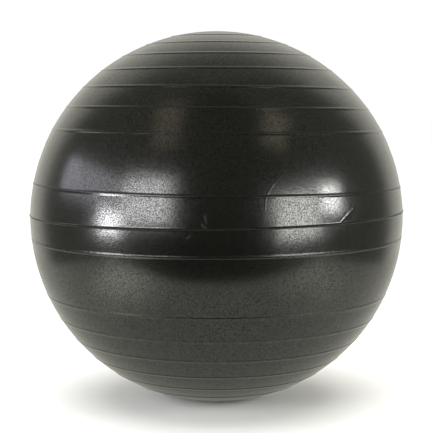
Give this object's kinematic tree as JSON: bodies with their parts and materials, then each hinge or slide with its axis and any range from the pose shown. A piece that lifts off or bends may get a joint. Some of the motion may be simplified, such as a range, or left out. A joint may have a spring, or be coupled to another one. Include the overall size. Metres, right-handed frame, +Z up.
{
  "type": "exercise ball",
  "caption": "Inflated anti-burst exercise ball with moulded rings, a moulded-in valve sleeve and a push-in air plug that pulls out.",
  "frame": {"origin": "middle of the flat patch on which the ball rests", "axes": "+Z up along the axis that the moulded rings run round; +Y towards the back, where the valve is; +X to the right seen from the front"},
  "size_m": [0.6526, 0.6526, 0.6434],
  "materials": {
    "shell_pvc": "black soft PVC, satin gloss with a fine pebble grain",
    "sleeve_pvc": "black soft PVC, smooth and slightly dull",
    "plug_plastic": "natural polyethylene, moulded, faintly waxy"
  },
  "bodies": {
    "ball": {"shell": "shell_pvc", "valve_sleeve": "sleeve_pvc"},
    "plug": {"air_plug": "plug_plastic"}
  },
  "joints": [
    {"name": "plug_pull", "type": "slide", "parent": "ball", "child": "plug", "axis": [0, 0.9455, 0.3256], "range_m": [0, 0.04]}
  ]
}
